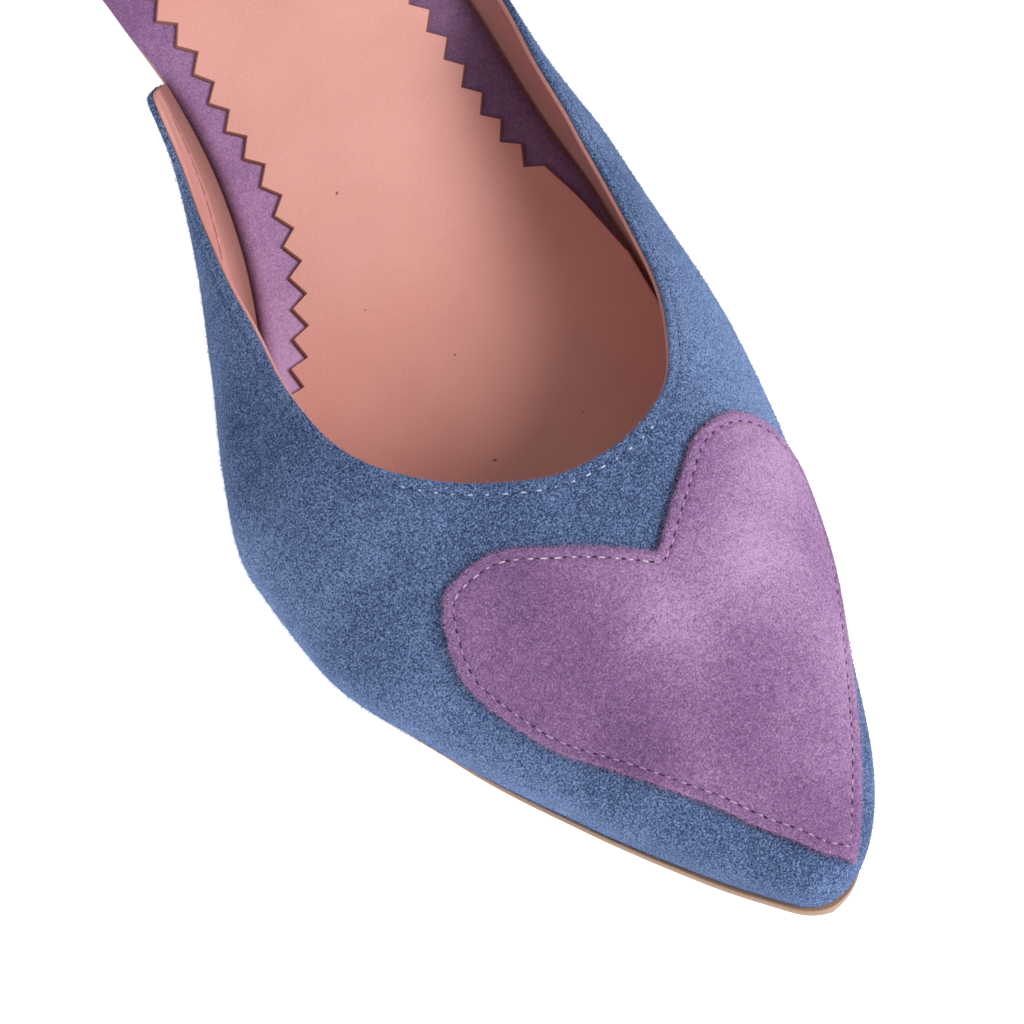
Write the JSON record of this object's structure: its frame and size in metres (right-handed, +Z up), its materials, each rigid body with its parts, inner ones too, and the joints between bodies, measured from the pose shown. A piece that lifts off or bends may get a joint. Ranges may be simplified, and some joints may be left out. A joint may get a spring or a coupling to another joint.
{
  "type": "slip-on shoe",
  "caption": "Pointed slip-on shoe with sides cut down to the waist, an open back, a heart overlay on the toe and a covered block heel.",
  "frame": {"origin": "middle of the shoe's box on the floor it stands on", "axes": "+Y from the toe to the heel along the floor, +X to the medial side, +Z up"},
  "size_m": [0.086, 0.2486, 0.057],
  "materials": {
    "sole_leather": "smooth",
    "blue_suede": "suede",
    "purple_suede": "suede",
    "pink_leather": "satin",
    "heart_suede": "suede",
    "heel_cover": "suede",
    "heel_rubber": "matte"
  },
  "bodies": {
    "root": {"outsole": "sole_leather", "upper": "blue_suede", "insole": "purple_suede", "sock": "pink_leather", "heart": "heart_suede", "heel": "heel_cover", "top_piece": "heel_rubber"}
  },
  "joints": []
}
